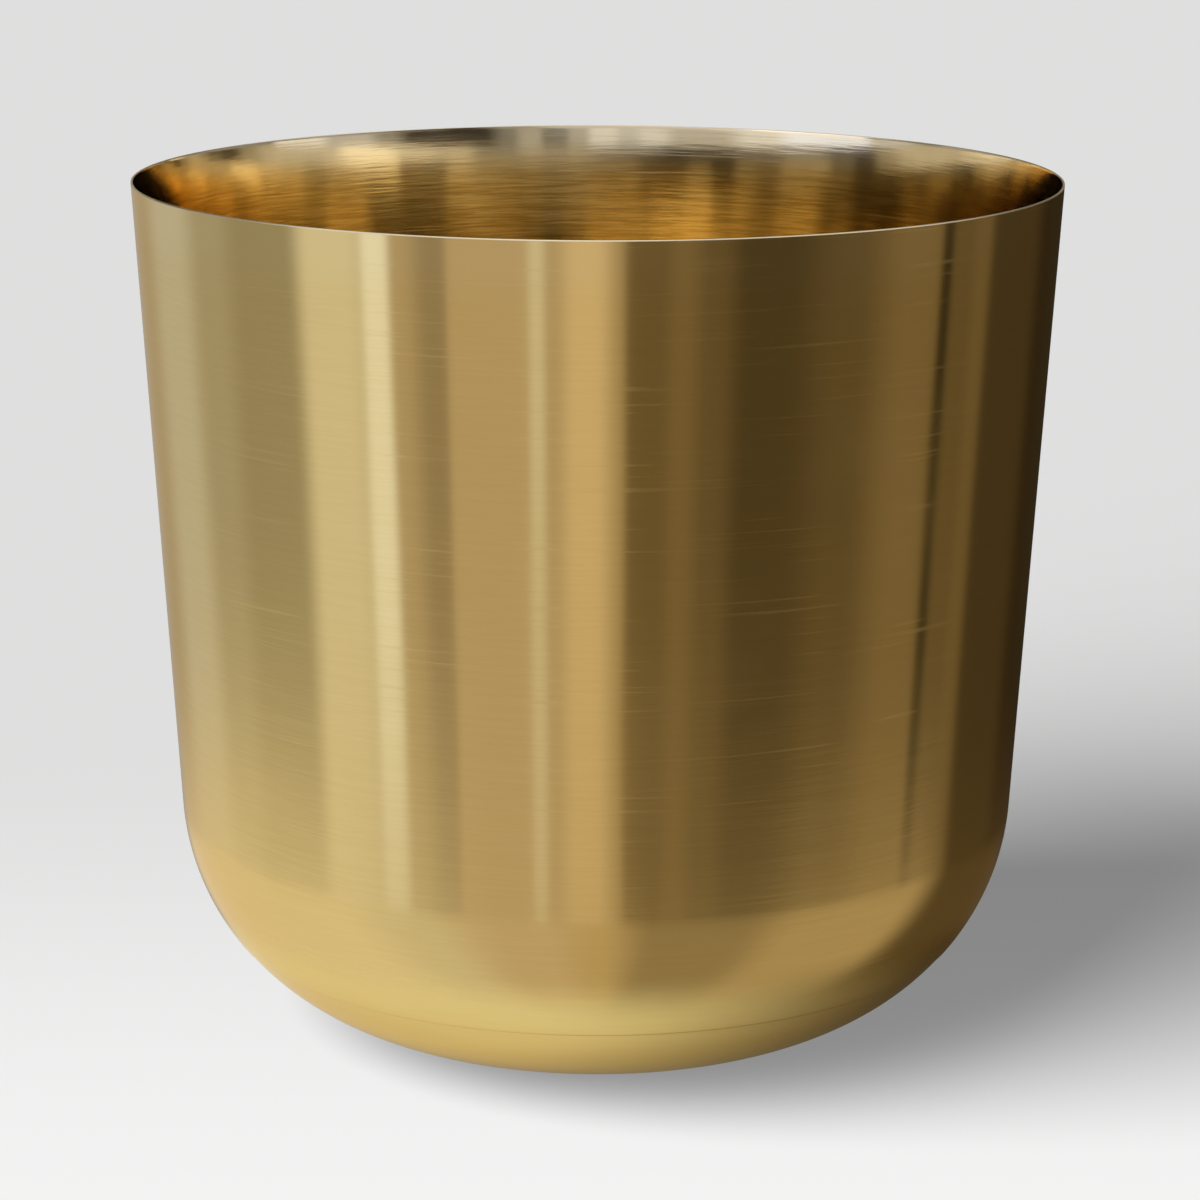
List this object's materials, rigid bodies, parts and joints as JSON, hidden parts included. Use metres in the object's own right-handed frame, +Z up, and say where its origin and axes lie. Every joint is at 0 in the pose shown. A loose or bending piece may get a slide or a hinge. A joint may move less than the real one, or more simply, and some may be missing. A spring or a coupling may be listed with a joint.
{
  "type": "planter pot",
  "caption": "Round planter pot of spun brass sheet with a leaning wall, a large rounded lower corner and a flat base with a lift-out rubber drain plug and rubber bumpers.",
  "frame": {"origin": "on the pot's axis, at the level that the bumpers stand on", "axes": "+Z up along the pot's axis, towards the rim; -Y is the front and +X the right side"},
  "size_m": [0.305, 0.305, 0.288],
  "materials": {
    "brushed_brass": "brushed round the axis, satin",
    "plug_rubber": "moulded matt",
    "bumper_rubber": "moulded satin"
  },
  "bodies": {
    "pot": {"shell": "brushed_brass", "bumper_1": "bumper_rubber", "bumper_2": "bumper_rubber", "bumper_3": "bumper_rubber", "bumper_4": "bumper_rubber"},
    "plug": {"drain_plug": "plug_rubber"}
  },
  "joints": [
    {"name": "plug_lift", "type": "slide", "parent": "pot", "child": "plug", "axis": [0, 0, 1], "range_m": [0, 0.025]}
  ]
}
